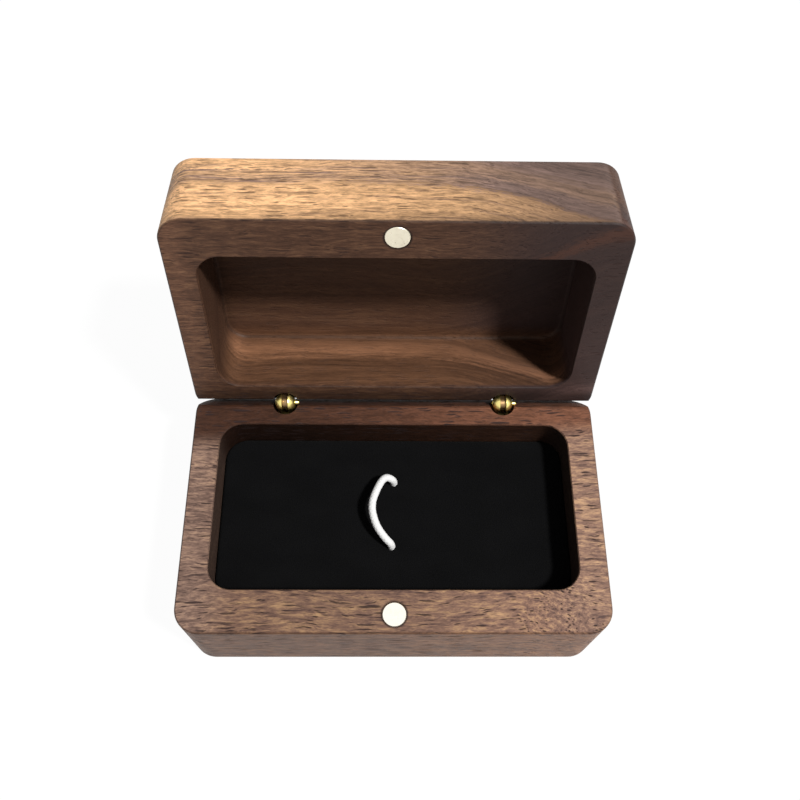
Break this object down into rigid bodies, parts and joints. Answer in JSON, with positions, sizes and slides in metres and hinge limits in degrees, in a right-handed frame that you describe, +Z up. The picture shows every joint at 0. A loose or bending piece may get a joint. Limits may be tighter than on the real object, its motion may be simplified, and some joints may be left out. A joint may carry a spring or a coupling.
{
  "type": "hinged walnut jewellery case",
  "caption": "Small walnut jewellery case with a hinged lid on brass barrel hinges, a magnet catch and a velvet pad with an elastic loop for a tie clip.",
  "frame": {"origin": "centre of the underside of the base", "axes": "+X along the width, to the right as seen from the front; +Y to the hinges at the back; +Z up"},
  "size_m": [0.07, 0.064, 0.0583],
  "materials": {
    "walnut": "satin",
    "nickel_plate": "satin",
    "brass": "polished",
    "black_velvet": "matte",
    "white_elastic": "matte",
    "grey_foam": "matte",
    "grey_card": "matte"
  },
  "bodies": {
    "base": {"base_block": "walnut", "base_magnet": "nickel_plate", "pad_foam": "grey_foam", "pad_board": "grey_card", "pad_velvet": "black_velvet", "retaining_loop": "white_elastic", "left_base_barrel": "brass", "right_base_barrel": "brass", "left_hinge_pin": "brass", "right_hinge_pin": "brass"},
    "lid": {"lid_block": "walnut", "lid_magnet": "nickel_plate", "left_lid_barrel": "brass", "right_lid_barrel": "brass"}
  },
  "joints": [
    {"name": "lid_hinge", "type": "hinge", "parent": "base", "child": "lid", "pos_m": [0, 0.01926, 0.01855], "axis": [1, 0, 0], "range_deg": [0, 102.5]}
  ]
}
